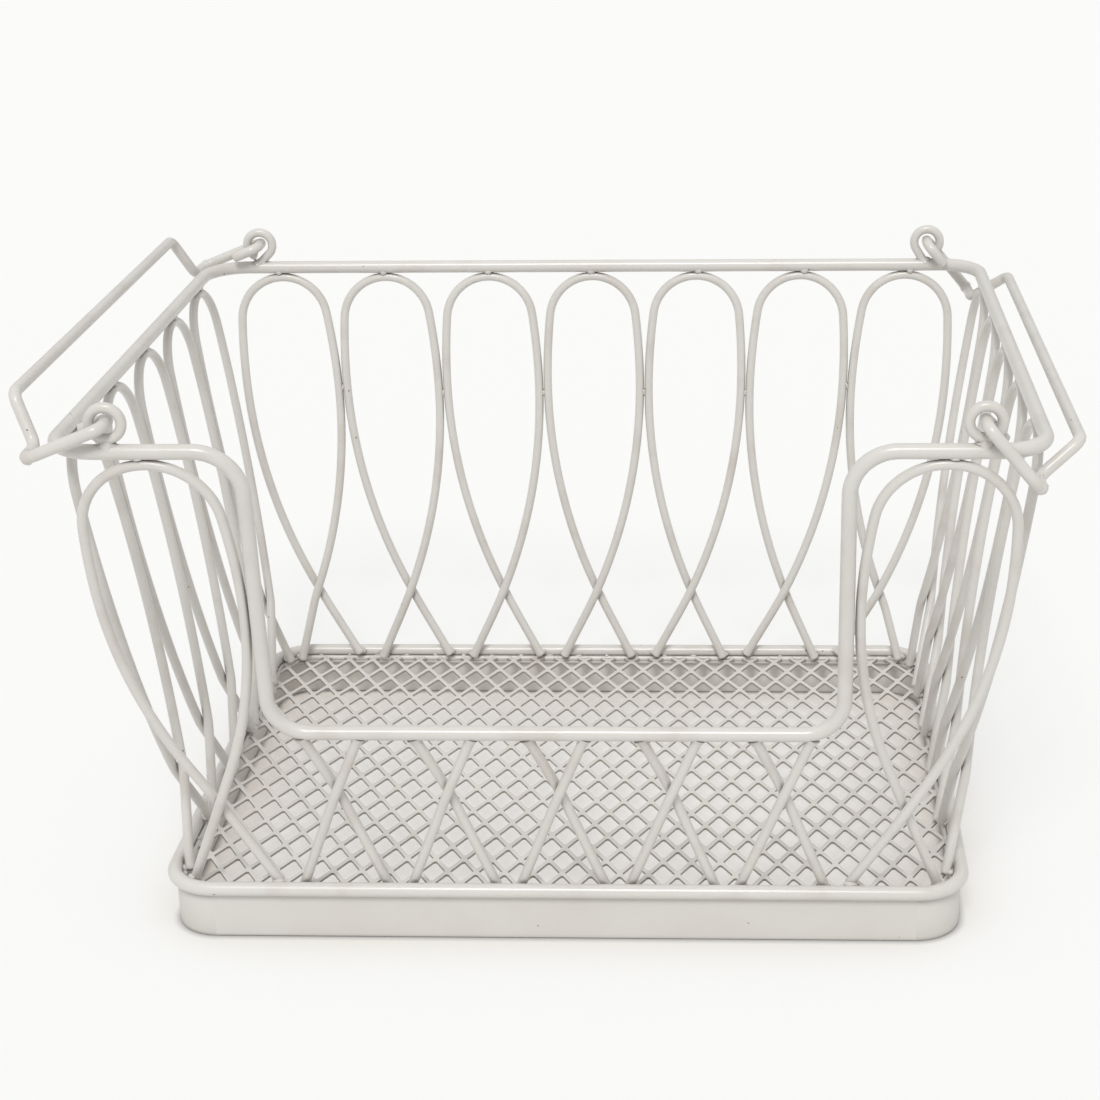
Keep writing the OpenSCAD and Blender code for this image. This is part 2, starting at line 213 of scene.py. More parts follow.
def painted_steel(name, settings, roughness, peel, stains, side_shade=0.0):
    """Stove paint on welded mild steel: a warm white film that is a little uneven, with painted shade in
    the crevices and small bare spots. Peel is the wavelength and the height of its bumps in millimetres,
    and stains and the painted shade on side faces are shares from 0 to 1."""
    material = bpy.data.materials.new(name)
    material.use_nodes = True
    tree = material.node_tree
    shader = tree.nodes["Principled BSDF"]
    place = add(tree, "ShaderNodeTexCoord").outputs["Object"]
    # The film's tone drifts over about 50 mm, from handling and age.
    cloud = add(tree, "ShaderNodeTexNoise", links={"Vector": place}, values={"Scale": 20.0, "Detail": 4.0})
    colour = blend_colour(tree, cloud.outputs["Fac"], settings.light_hex, settings.shade_hex)
    # Faint brown stains a few centimetres long, from hands and damp.
    damp = add(tree, "ShaderNodeTexNoise", links={"Vector": place}, values={"Scale": 38.0, "Detail": 5.0})
    stain = add(tree, "ShaderNodeMapRange", links={"Value": damp.outputs["Fac"]},
                values={"From Min": 0.52, "From Max": 0.75, "To Min": 0.0, "To Max": stains})
    colour = blend_colour(tree, stain.outputs["Result"], colour, settings.stain_hex)
    # Painted shade: the paint is darker where another wire, or the floor, is nearer than about 2 mm.
    crevice = add(tree, "ShaderNodeAmbientOcclusion", {"samples": 6}, values={"Distance": 0.0025})
    crevice_shade = add(tree, "ShaderNodeMapRange", links={"Value": crevice.outputs["AO"]},
               values={"From Min": 0.3, "From Max": 0.9, "To Min": 0.65, "To Max": 0.0})
    colour = blend_colour(tree, crevice_shade.outputs["Result"], colour, settings.painted_shade_hex)
    if side_shade:
        # Painted shade: faces that turn away from straight up, such as the strands' sheared sides, are
        # darker.
        normal = add(tree, "ShaderNodeNewGeometry").outputs["Normal"]
        upward = add(tree, "ShaderNodeSeparateXYZ", links={"Vector": normal}).outputs["Z"]
        steep = add(tree, "ShaderNodeMapRange", links={"Value": upward},
                    values={"From Min": 0.05, "From Max": 0.45, "To Min": side_shade, "To Max": 0.0})
        colour = blend_colour(tree, steep.outputs["Result"], colour, settings.painted_shade_hex)
    # Bare spots about 1 mm wide.
    spots = add(tree, "ShaderNodeTexVoronoi", {"feature": "F1"}, {"Vector": place}, {"Scale": 90.0})
    chance = add(tree, "ShaderNodeTexNoise", links={"Vector": place}, values={"Scale": 31.0, "Detail": 1.0})
    near = calculate(tree, "LESS_THAN", spots.outputs["Distance"], 0.05)
    rare = calculate(tree, "GREATER_THAN", chance.outputs["Fac"], 0.52)
    spot = calculate(tree, "MULTIPLY", near, rare)
    colour = blend_colour(tree, spot, colour, settings.rust_hex)
    tree.links.new(colour, shader.inputs["Base Color"])
    wavelength, height = peel
    bumps = add(tree, "ShaderNodeTexNoise", links={"Vector": place},
                values={"Scale": 1000.0 / wavelength, "Detail": 2.0})
    depth = calculate(tree, "SUBTRACT", bumps.outputs["Fac"], spot)
    bump = add(tree, "ShaderNodeBump", links={"Height": depth},
               values={"Strength": 0.5, "Distance": height * MM})
    tree.links.new(bump.outputs["Normal"], shader.inputs["Normal"])
    shader.inputs["Roughness"].default_value = roughness
    return material


def light_table(name, colour, glow):
    """A matt white studio table that is also lit from below, so that shadows on it stay pale. Its glow is
    warmer and dimmer under what stands on it, a painted shade, and fades to a painted contact shadow within
    a few millimetres of it."""
    material = bpy.data.materials.new(name)
    material.use_nodes = True
    tree = material.node_tree
    shader = tree.nodes["Principled BSDF"]
    shader.inputs["Base Color"].default_value = linear(colour)
    shader.inputs["Roughness"].default_value = 0.9
    shader.inputs["Specular IOR Level"].default_value = 0.2
    # Painted contact shadow: the glow fades to nothing within a few millimetres of what stands on the
    # table.
    contact_shadow = add(tree, "ShaderNodeAmbientOcclusion", {"samples": 6}, values={"Distance": 0.005})
    strength = add(tree, "ShaderNodeMapRange", links={"Value": contact_shadow.outputs["AO"]},
                   values={"From Min": 0.45, "From Max": 0.95, "To Min": 0.0, "To Max": glow})
    tree.links.new(strength.outputs["Result"], shader.inputs["Emission Strength"])
    # Painted shade: the glow turns warmer and dimmer where the table is covered from above, under the
    # basket.
    cover = add(tree, "ShaderNodeAmbientOcclusion", {"samples": 6}, values={"Distance": 0.08})
    shade = add(tree, "ShaderNodeMapRange", links={"Value": cover.outputs["AO"]},
                values={"From Min": 0.35, "From Max": 0.8, "To Min": 1.0, "To Max": 0.0})
    painted_shade_tint = blend_colour(tree, shade.outputs["Result"], "#ffffff", "#e4dbd0")
    tree.links.new(painted_shade_tint, shader.inputs["Emission Color"])
    return material


def studio_world(name, horizon, zenith):
    """Bright ceiling over darker walls, which draw the dim outlines along a glossy wire's edges."""
    world = bpy.data.worlds.new(name)
    world.use_nodes = True
    tree = world.node_tree
    background = tree.nodes["Background"]
    background.inputs["Color"].default_value = linear("#ffffff")
    way = add(tree, "ShaderNodeTexCoord").outputs["Generated"]
    height = add(tree, "ShaderNodeSeparateXYZ", links={"Vector": way}).outputs["Z"]
    level = add(tree, "ShaderNodeMapRange", links={"Value": height},
                values={"From Min": 0.0, "From Max": 0.46, "To Min": horizon, "To Max": zenith})
    tree.links.new(level.outputs["Result"], background.inputs["Strength"])
    return world


def advance(step, part=1.0):
    """Where a bend step, or the first part of it, leads."""
    if step[0] == "run":
        return Matrix.Translation((step[1] * part, 0, 0))
    if step[0] == "roll":
        return Matrix.Rotation(math.radians(step[1]), 4, "X")
    centre = Vector((0, math.copysign(step[1], step[2]), 0))
    turn = Matrix.Rotation(math.radians(step[2] * part), 4, "Z")
    return Matrix.Translation(centre) @ turn @ Matrix.Translation(-centre)


def bent_path(steps, start):
    """Points along a wire bent step by step from a start, which heads along its own X."""
    place = start.copy()
    points = [place.translation.copy()]
    for step in steps:
        count = {"run": 1, "roll": 0}.get(step[0])
        if count is None:
            arc = step[1] * math.radians(abs(step[2]))
            count = math.ceil(max(abs(step[2]) / 6, arc / 8))
        for i in range(1, count + 1):
            points.append((place @ advance(step, i / count)).translation.copy())
        place = place @ advance(step)
    return points


def both_ways(place, leg, partner):
    """A path drawn both ways from a point, its second leg turned half round about Y."""
    one = bent_path(leg, Matrix.Identity(4))
    other = [Vector((-p.x, p.y, -p.z)) for p in bent_path(partner, Matrix.Identity(4))]
    return [place @ p for p in reversed(other[1:])] + [place @ p for p in one]


def turned(angle):
    """A turn in a wall's own plane, in degrees."""
    return Matrix.Rotation(math.radians(angle), 4, "Z")


def on_wall(azimuth, distance, height, lean):
    """A wall's own plane: X along the wall, Y up it, Z outwards."""
    return turned(azimuth) @ Matrix.Translation((0, -distance, height)) @ Matrix.Rotation(
        math.radians(90 + lean), 4, "X")


def back_bend(angle):
    """Brings a leg back into the wall's plane after it has crossed the other."""
    return [("roll", 90), ("turn", CROSS_BEND, -angle), ("roll", -90)]


def bend_length(angle):
    """The wire used up by a back bend."""
    return CROSS_BEND * math.radians(abs(angle))


def hoop_leg(slant, bend_angle, corner_turns):
    """Bend steps of one leg of a back or side hoop, from the middle of its top to its foot."""
    top, cross = math.radians(bend_angle), math.radians(HOOP_CROSS_ANGLE)
    foot = ("turn", HOOP_INWARD, -HOOP_FOOT_ANGLE)
    if corner_turns[1]:
        foot = ("turn", CORNER_FOOT_BEND, corner_turns[1])
    end = math.radians(HOOP_CROSS_ANGLE - foot[2])
    half_width = HOOP_BEND * math.sin(top) + HOOP_FLANK * (1 - math.sin(top))
    drop = (HOOP_BEND * (1 - math.cos(top)) + HOOP_FLANK * math.cos(top) + HOOP_INWARD * math.sin(cross)
            + foot[1] * abs(math.sin(end) - math.sin(cross)))
    roll = math.degrees(math.asin(CROSS_OFFSET / half_width))
    inward = HOOP_RETURN + corner_turns[0]
    return [("turn", HOOP_BEND, -bend_angle), ("turn", HOOP_FLANK, bend_angle - 90), ("roll", -roll),
            ("turn", HOOP_INWARD, -HOOP_CROSS_ANGLE), *back_bend(inward), foot,
            ("run", (slant - drop) / math.cos(end) - bend_length(inward))]


def front_leg(slant, corner_turn):
    """Bend steps of one leg of a full front hoop, which crosses the other on a straight stretch."""
    top, rest = math.radians(FRONT_BEND_ANGLE), math.radians(FRONT_INWARD_ANGLE)
    half_width = FRONT_BEND * math.sin(top) + FRONT_FLANK * (1 - math.sin(top))
    to_cross = (half_width - FRONT_INWARD * (1 - math.cos(rest))) / math.sin(rest)
    drop = (FRONT_BEND * (1 - math.cos(top)) + FRONT_FLANK * math.cos(top)
            + FRONT_INWARD * math.sin(rest) + to_cross * math.cos(rest))
    roll = math.degrees(math.asin(CROSS_OFFSET / half_width))
    inward = FRONT_RETURN + corner_turn
    return [("turn", FRONT_BEND, -FRONT_BEND_ANGLE), ("turn", FRONT_FLANK, FRONT_BEND_ANGLE - 90),
            ("roll", -roll), ("turn", FRONT_INWARD, -FRONT_INWARD_ANGLE), ("run", to_cross),
            *back_bend(inward), ("run", (slant - drop) / math.cos(rest) - bend_length(inward))]


def wall_hoop(azimuth, distance, lean, top_place, foot_place, bend_angle, corner, corner_turns):
    """Place and two legs of a back or side hoop. The corner is -1 or 1 where a leg stands in one."""
    slant = (HOOP_TOP - HOOP_FOOT) / math.cos(math.radians(lean))
    fan = math.atan((foot_place - top_place) / slant)
    place = (on_wall(azimuth, distance, HOOP_TOP, lean) @ Matrix.Translation((top_place, 0, 0))
             @ turned(math.degrees(fan)))
    leg = hoop_leg(slant / math.cos(fan), bend_angle, corner_turns if corner < 0 else (0, 0))
    partner_turns = (-corner_turns[0], corner_turns[1]) if corner > 0 else (0, 0)
    return place, leg, hoop_leg(slant / math.cos(fan), bend_angle, partner_turns)


def front_hoop(side):
    """Place and two legs of one of the two full hoops beside the cut-out."""
    lean = math.radians(FRONT_HOOP_LEAN)
    slant = (HOOP_TOP - HOOP_FOOT) / math.cos(math.radians(BACK_LEAN)) / math.cos(lean)
    middle = (side * FRONT_HOOP_PLACE, -FRONT_BEND * (1 - math.cos(lean)), 0)
    place = (on_wall(0, RIM_HALF_Y, HOOP_TOP, BACK_LEAN) @ Matrix.Translation(middle)
             @ turned(-side * FRONT_HOOP_LEAN))
    return (place, front_leg(slant, FRONT_CORNER_TURN if side < 0 else 0),
            front_leg(slant, -FRONT_CORNER_TURN if side > 0 else 0))


def hoops():
    """Place and two legs of every hoop, by node name."""
    plans = {}
    for i in range(1, 8):
        spot = 4 - i
        corner = {1: 1, 7: -1}.get(i, 0)
        plans[f"back_hoop_{i}"] = wall_hoop(
            180, RIM_HALF_Y, BACK_LEAN, BACK_PITCH * spot, BACK_FOOT_PITCH * spot, BACK_BEND_ANGLE,
            corner, BACK_CORNER_TURNS)
    for side, wall in ((-1, "left"), (1, "right")):
        for i in range(1, 6):
            spot = i - 3
            plans[f"{wall}_hoop_{i}"] = wall_hoop(
                side * 90, RIM_HALF_X, SIDE_LEAN, side * (SIDE_SHIFT + SIDE_PITCH * spot),
                side * (SIDE_SHIFT + 2 + SIDE_FOOT_PITCH * spot), SIDE_BEND_ANGLE,
                side if i == 5 else 0, SIDE_CORNER_TURNS)
        plans[f"front_hoop_{wall}"] = front_hoop(side)
    return plans


def strut_path(i):
    """Path of one short front wire, from its foot to its top."""
    lean = math.cos(math.radians(STRUT_LEAN))
    side = 1 if i % 2 else -1
    upper = (STRUT_TOP - STRUT_CROSS) / lean / math.cos(math.radians(STRUT_UPPER_ANGLE))
    lower = (STRUT_CROSS - HOOP_FOOT) / lean / math.cos(math.radians(STRUT_LOWER_ANGLE))
    up_bend = math.degrees(math.asin(CROSS_OFFSET / upper))
    down_bend = math.degrees(math.asin(CROSS_OFFSET / lower))
    up = [("roll", 90), ("turn", CROSS_BEND, -up_bend), ("run", upper - bend_length(up_bend) + 3)]
    down = [("turn", CROSS_BEND, STRUT_LOWER_ANGLE - STRUT_UPPER_ANGLE), ("roll", 90),
            ("turn", CROSS_BEND, down_bend), ("run", lower - bend_length(down_bend))]
    middle = (STRUT_PITCH * ((i + 1) // 2 - 3), -(CUTOUT_HEIGHT - STRUT_CROSS) / lean, side * CROSS_OFFSET)
    place = on_wall(0, CUTOUT_Y, CUTOUT_HEIGHT, STRUT_LEAN) @ Matrix.Translation(middle)
    if side < 0:
        place = place @ Matrix.Rotation(math.pi, 4, "Y")
    return both_ways(place @ turned(90 - STRUT_UPPER_ANGLE), up, down)


def handle_path():
    """Path of a handle from one cut tail to the other, with its axis on Y and its lower arms along X."""
    elbow = math.radians(ELBOW)
    outer_y, tail_y, jog_y = RIM_HALF_Y + 9, RIM_HALF_Y - 9, RIM_HALF_Y - 13
    turn = 90 - math.degrees(math.atan(ARM_SHIFT / UPPER_ARM))
    setback = ARM_BEND * math.tan(math.radians(turn / 2))
    steps = [
        ("run", jog_y - ARM_SHIFT - setback), ("roll", ELBOW - 180),
        ("turn", ARM_BEND, turn), ("run", math.hypot(UPPER_ARM, ARM_SHIFT) - 2 * setback),
        ("turn", ARM_BEND, -turn), ("roll", 180 - ELBOW),
        ("run", outer_y - ARM_BEND - jog_y - setback),
        ("turn", ARM_BEND, -90), ("run", LOWER_ARM - ARM_BEND - PIN_BEND),
        ("turn", PIN_BEND, -90), ("run", outer_y - tail_y - 2 * PIN_BEND),
        ("turn", PIN_BEND, -90), ("run", TAIL_LENGTH),
    ]
    grip = Vector((LOWER_ARM + UPPER_ARM * math.cos(elbow), 0, UPPER_ARM * math.sin(elbow)))
    front = bent_path(steps, Matrix.Translation(grip) @ turned(-90))
    rear = [Vector((p.x, -p.y, p.z)) for p in front]
    return list(reversed(rear[1:])) + front


def handle_place(rest, side):
    """Takes a handle's own frame to its eyes, with its lower arms turned down to rest."""
    place = Matrix.Translation((AXIS_X, 0, AXIS_Z)) @ Matrix.Rotation(math.radians(rest), 4, "Y")
    return Matrix.Scale(side, 4, (1, 0, 0)) @ place


def rim_path():
    """Path of the top rim, which closes on itself: round the back and down into the cut-out."""
    flat_x, flat_y = RIM_HALF_X - RIM_CORNER, 2 * (RIM_HALF_Y - RIM_CORNER)
    front_run = flat_x - CUTOUT_WIDTH / 2 - CUTOUT_UPPER_BEND
    tall = (RIM_Z - CUTOUT_HEIGHT) / math.cos(math.radians(CUTOUT_LEAN))
    drop = tall - CUTOUT_UPPER_BEND - CUTOUT_LOWER_BEND
    corner = ("turn", RIM_CORNER, -90)
    side = [("run", front_run), corner, ("run", flat_y), corner, ("run", flat_x)]
    steps = [
        *reversed(side),
        ("roll", -90 - CUTOUT_LEAN),
        ("turn", CUTOUT_UPPER_BEND, 90), ("run", drop),
        ("turn", CUTOUT_LOWER_BEND, -90), ("run", CUTOUT_WIDTH - 2 * CUTOUT_LOWER_BEND),
        ("turn", CUTOUT_LOWER_BEND, -90), ("run", drop),
        ("turn", CUTOUT_UPPER_BEND, 90), ("roll", 90 + CUTOUT_LEAN),
        *side,
    ]
    return bent_path(steps, Matrix.Translation((0, RIM_HALF_Y, RIM_Z)))[:-1]


def ring_path(half_x, half_y, corner, height):
    """Path of a level rectangular ring with round corners, which closes on itself."""
    turn = ("turn", corner, -90)
    along, across = ("run", 2 * (half_x - corner)), ("run", 2 * (half_y - corner))
    start = Matrix.Translation((corner - half_x, half_y, height))
    return bent_path([along, turn, across, turn, along, turn, across, turn], start)[:-1]


def even(points, closed=False):
    """A path of even thickness: its points, the share of the wire's thickness at each, and if it closes."""
    return points, [1.0] * len(points), closed


def swell(path, reach, share):
    """Lets a wire swell or shrink over its last stretch, to a share of its thickness."""
    points, scales, closed = path
    way = (points[-1] - points[-2]).normalized()
    parts = (0.0, 0.4, 0.75, 1.0)
    tail = [points[-1] - way * reach * (1 - part) for part in parts]
    return points[:-1] + tail, scales[:-1] + [1 + (share - 1) * part ** 2 for part in parts], closed


def rounded(path, reach):
    """Rounds off a wire's last end, which grows by a reach in millimetres."""
    points, scales, closed = path
    way = (points[-1] - points[-2]).normalized()
    parts = (0.35, 0.7, 0.9, 1.0)
    tip = [points[-1] + way * reach * part for part in parts]
    return points + tip, scales + [scales[-1] * math.sqrt(1.02 - part ** 2) for part in parts], closed


def backwards(path):
    """The same path from its other end."""
    points, scales, closed = path
    return points[::-1], scales[::-1], closed


def foot_end(path):
    """Ends a path as a hoop's foot: weld metal runs up it, so it swells a little and ends round."""
    return rounded(swell(path, 5.0, 1.07), 1.6)


def eye_paths(side_x, side_y):
    """A rear eye is one wire that rises from the rim and curls round; a front eye is a ring on a neck."""
    def on_ring(angle):
        return Vector((EYE_RADIUS * math.cos(angle), 0, EYE_RADIUS * math.sin(angle)))

    def arc(start, stop):
        return [on_ring(math.radians(start + (stop - start) * i / 48)) for i in range(49)]

    foot = -EYE_RADIUS - HOOP_WIRE / 2 - 2.5
    if side_y < 0:
        neck = [Vector((0, 0, z)) for z in (foot, -11.2, -10.4, -9.5, -8.7)]
        paths = [even(arc(-90, 270)[:-1], closed=True), (neck, [1.35, 1.35, 1.3, 1.2, 0.9], False)]
    else:
        lean = 45 if side_x < 0 else 31
        slope = math.radians(lean)
        length = (-foot - EYE_RADIUS * math.sin(slope)) / math.cos(slope)
        stem = on_ring(-slope) - length * Vector((math.sin(slope), 0, math.cos(slope)))
        mirror = -1 if side_x > 0 else 1
        curl = [Vector((mirror * p.x, 0, p.z)) for p in [stem, *arc(-lean, 252)]]
        paths = [swell(backwards(even(curl)), 4.5, 1.5)]
    middle = Vector((side_x * AXIS_X, side_y * RIM_HALF_Y, AXIS_Z))
    return [([middle + p for p in points], scales, closed) for points, scales, closed in paths]


def new_tree(name, inputs):
    """An empty geometry node group with a geometry socket each way and some named inputs."""
    tree = bpy.data.node_groups.new(name, "GeometryNodeTree")
    tree.interface.new_socket("Geometry", in_out="INPUT", socket_type="NodeSocketGeometry")
    for label, kind in inputs.items():
        tree.interface.new_socket(label, in_out="INPUT", socket_type="NodeSocket" + kind)
    tree.interface.new_socket("Geometry", in_out="OUTPUT", socket_type="NodeSocketGeometry")
    return tree


def finish_tree(tree, geometry, material):
    """Ends a node group: smooth shading, real geometry and the material."""
    smooth = add(tree, "GeometryNodeSetShadeSmooth", links={"Geometry": geometry})
    solid = add(tree, "GeometryNodeRealizeInstances", links={"Geometry": smooth.outputs["Geometry"]})
    painted = add(tree, "GeometryNodeSetMaterial", links={"Geometry": solid.outputs["Geometry"]},
                  values={"Material": material})
    add(tree, "NodeGroupOutput", links={"Geometry": painted.outputs["Geometry"]})
    return tree


def attribute(tree, name, kind):
    """A named attribute of the points that a node group is given."""
    node = add(tree, "GeometryNodeInputNamedAttribute", {"data_type": kind}, values={"Name": name})
    return node.outputs[0]


def wire_tree(material):
    """Draws a round wire along a curve; the curve's radius swells or shrinks it."""
    tree = new_tree("Round wire", {"Diameter": "Float", "Sides": "Int"})
    source = add(tree, "NodeGroupInput")
    radius = calculate(tree, "MULTIPLY", source.outputs["Diameter"], 0.5)
    ring = add(tree, "GeometryNodeCurvePrimitiveCircle",
               links={"Radius": radius, "Resolution": source.outputs["Sides"]})
    share = add(tree, "GeometryNodeInputRadius")
    tube = add(tree, "GeometryNodeCurveToMesh",
               links={"Curve": source.outputs["Geometry"], "Profile Curve": ring.outputs["Curve"],
                      "Scale": share.outputs["Radius"]},
               values={"Fill Caps": True})
    return finish_tree(tree, tube.outputs["Mesh"], material)


def lump(tree, segments, rings):
    """A low ball one unit across, which an instance's scale turns into a lump of a given size."""
    return add(tree, "GeometryNodeMeshUVSphere",
               values={"Segments": segments, "Rings": rings, "Radius": 0.5}).outputs["Mesh"]


def sheet_tree(material):
    """Fills flat outlines one inside the other, which gives a sheet with openings at a height."""
    tree = new_tree("Perforated sheet", {"Height": "Float"})
    source = add(tree, "NodeGroupInput")
    fill = add(tree, "GeometryNodeFillCurve", links={"Curve": source.outputs["Geometry"]})
    rise = add(tree, "ShaderNodeCombineXYZ", links={"Z": source.outputs["Height"]})
    raised = add(tree, "GeometryNodeSetPosition",
                 links={"Geometry": fill.outputs["Mesh"], "Offset": rise.outputs["Vector"]})
    solid = add(tree, "GeometryNodeRealizeInstances", links={"Geometry": raised.outputs["Geometry"]})
    painted = add(tree, "GeometryNodeSetMaterial", links={"Geometry": solid.outputs["Geometry"]},
                  values={"Material": material})
    add(tree, "NodeGroupOutput", links={"Geometry": painted.outputs["Geometry"]})
    return tree


def knuckle_tree(material):
    """Sets a rounded knuckle on each point, where the sheet is folded over the border wire."""
    tree = new_tree("Edge knuckles", {"Size": "Vector"})
    source = add(tree, "NodeGroupInput")
    turn = add(tree, "FunctionNodeEulerToRotation",
               links={"Euler": attribute(tree, "turn", "FLOAT_VECTOR")})
    knuckles = add(tree, "GeometryNodeInstanceOnPoints",
                   links={"Points": source.outputs["Geometry"], "Instance": lump(tree, 8, 5),
                          "Rotation": turn.outputs["Rotation"], "Scale": source.outputs["Size"]})
    return finish_tree(tree, knuckles.outputs["Instances"], material)


def weld_tree(material):
    """Sets an uneven lump on each point, with the point's own size and turn."""
    tree = new_tree("Weld beads", {"Unevenness": "Float", "Grain": "Float"})
    source = add(tree, "NodeGroupInput")
    turn = add(tree, "FunctionNodeEulerToRotation",
               links={"Euler": attribute(tree, "turn", "FLOAT_VECTOR")})
    beads = add(tree, "GeometryNodeInstanceOnPoints",
                links={"Points": source.outputs["Geometry"], "Instance": lump(tree, 10, 6),
                       "Rotation": turn.outputs["Rotation"],
                       "Scale": attribute(tree, "size", "FLOAT_VECTOR")})
    solid = add(tree, "GeometryNodeRealizeInstances", links={"Geometry": beads.outputs["Instances"]})
    place = add(tree, "GeometryNodeInputPosition")
    noise = add(tree, "ShaderNodeTexNoise", links={"Vector": place.outputs["Position"],
                                                   "Scale": source.outputs["Grain"]})
    centred = add(tree, "ShaderNodeMath", {"operation": "SUBTRACT"}, {0: noise.outputs["Fac"]}, {1: 0.5})
    height = add(tree, "ShaderNodeMath", {"operation": "MULTIPLY"},
                 {0: centred.outputs[0], 1: source.outputs["Unevenness"]})
    normal = add(tree, "GeometryNodeInputNormal")
    push = add(tree, "ShaderNodeVectorMath", {"operation": "SCALE"},
               {0: normal.outputs["Normal"], "Scale": height.outputs[0]})
    rough = add(tree, "GeometryNodeSetPosition",
                links={"Geometry": solid.outputs["Geometry"], "Offset": push.outputs["Vector"]})
    return finish_tree(tree, rough.outputs["Geometry"], material)


def draw(name, source, tree, values, body, node=None):
    """A piece made by a node group from a curve or mesh, as a plain mesh that rides on its body."""
    carrier = bpy.data.objects.new(name + "_source", source)
    bpy.context.collection.objects.link(carrier)
    modifier = carrier.modifiers.new(tree.name, "NODES")
    modifier.node_group = tree
    sockets = {item.name: item.identifier for item in tree.interface.items_tree if item.in_out == "INPUT"}
    for label, value in values.items():
        modifier[sockets[label]] = value
    bpy.context.view_layer.update()
    mesh = bpy.data.meshes.new_from_object(carrier.evaluated_get(bpy.context.evaluated_depsgraph_get()))
    bpy.data.objects.remove(carrier)
    mesh.name = name
    return place_piece(name, mesh, body, node)


def place_piece(name, mesh, body, node=None):
    """Shows a mesh as a piece that rides on its body, in place of its CAD node if it has one."""
    piece = bpy.data.objects.new(name, mesh)
    bpy.context.collection.objects.link(piece)
    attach(piece, body)
    if node:
        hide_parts(node)
    return piece


def soften(piece, width):
    """Rounds a piece's sharp edges by a small width in millimetres."""
    bevel = piece.modifiers.new("Soft edges", "BEVEL")
    bevel.width = width * MM
    bevel.segments = 2
    bevel.limit_method = "ANGLE"
    bevel.angle_limit = math.radians(50)


def flat_curve(name, outlines):
    """Curve data with closed outlines in the ground plane."""
    curve = bpy.data.curves.new(name, "CURVE")
    curve.dimensions = "3D"
    for outline in outlines:
        spline = curve.splines.new("POLY")
        spline.points.add(len(outline) - 1)
        spline.use_cyclic_u = True
        for target, point in zip(spline.points, outline):
            target.co = (point.x * MM, point.y * MM, 0, 1)
    return curve


def draw_wire(name, paths, diameter, body, node, settings):
    """One piece of round wire along one or more paths."""
    curve = bpy.data.curves.new(name + "_path", "CURVE")
    curve.dimensions = "3D"
    for points, scales, closed in paths:
        spline = curve.splines.new("POLY")
        spline.points.add(len(points) - 1)
        spline.use_cyclic_u = closed
        for target, point, scale in zip(spline.points, points, scales):
            target.co = (*(point * MM), 1)
            target.radius = scale
    tree = node_group("Round wire", wire_tree, paint_on_wire(settings))
    return draw(name, curve, tree, {"Diameter": diameter * MM, "Sides": 20}, body, node)


def draw_welds(name, beads, body, settings):
    """One piece with all the weld beads of a body. A bead is a place, a size and a turn."""
    mesh = bpy.data.meshes.new(name + "_points")
    mesh.from_pydata([place * MM for place, size, turn in beads], [], [])
    sizes = mesh.attributes.new("size", "FLOAT_VECTOR", "POINT")
    turns = mesh.attributes.new("turn", "FLOAT_VECTOR", "POINT")
    for i, (place, size, turn) in enumerate(beads):
        sizes.data[i].vector = Vector(size) * MM
        turns.data[i].vector = turn
    tree = node_group("Weld beads", weld_tree, paint_on_weld(settings))
    return draw(name, mesh, tree, {"Unevenness": 1.4 * MM, "Grain": 700.0}, body)


def node_group(name, maker, material):
    """A node group, made once."""
    return bpy.data.node_groups.get(name) or maker(material)


def once(name, maker):
    """A material, made once."""
    return bpy.data.materials.get(name) or maker(name)


def paint_on_wire(settings):
    """Half-gloss paint that flowed out well on drawn wire, so that highlights run along it."""
    return once("Stove paint on steel wire",
                lambda name: painted_steel(name, settings, 0.28, (3.0, 0.05), 0.4))


def paint_on_strip(settings):
    """The same paint on rolled strip, duller from rubbing on floors and shelves."""
    return once("Stove paint on steel strip",
                lambda name: painted_steel(name, settings, 0.48, (5.0, 0.08), 0.08))


def paint_on_mesh(settings):
    """The same paint on expanded metal, whose sheared side faces carry painted shade."""
    return once("Stove paint on expanded metal",
                lambda name: painted_steel(name, settings, 0.45, (2.0, 0.05), 0.2, side_shade=0.65))


def paint_on_weld(settings):
    """The same paint over rough weld metal: small sparkling bumps instead of one long highlight."""
    return once("Stove paint over weld", lambda name: painted_steel(name, settings, 0.4, (0.8, 0.12), 0.4))


def pull_inside(point, half_x, half_y, corner):
    """Moves a point that lies outside a rectangle with round corners onto its edge."""
    flat_x, flat_y = half_x - corner, half_y - corner
    core = Vector((max(-flat_x, min(flat_x, point.x)), max(-flat_y, min(flat_y, point.y))))
    away = point - core
    return core + away.normalized() * corner if away.length > corner else point


def lattice(odd):
    """The knots of the floor mesh or, if odd, the middles of its openings, over more than the floor."""
    columns = math.ceil(2 * MESH_HIGH[0] / MESH_PITCH) + 2
    rows = math.ceil(2 * MESH_HIGH[1] / MESH_OPENING) + 2
    return [MESH_KNOT + i * MESH_ACROSS + j * MESH_ALONG
            for i in range(-columns, columns) for j in range(-rows, rows) if (i + j) % 2 == odd]


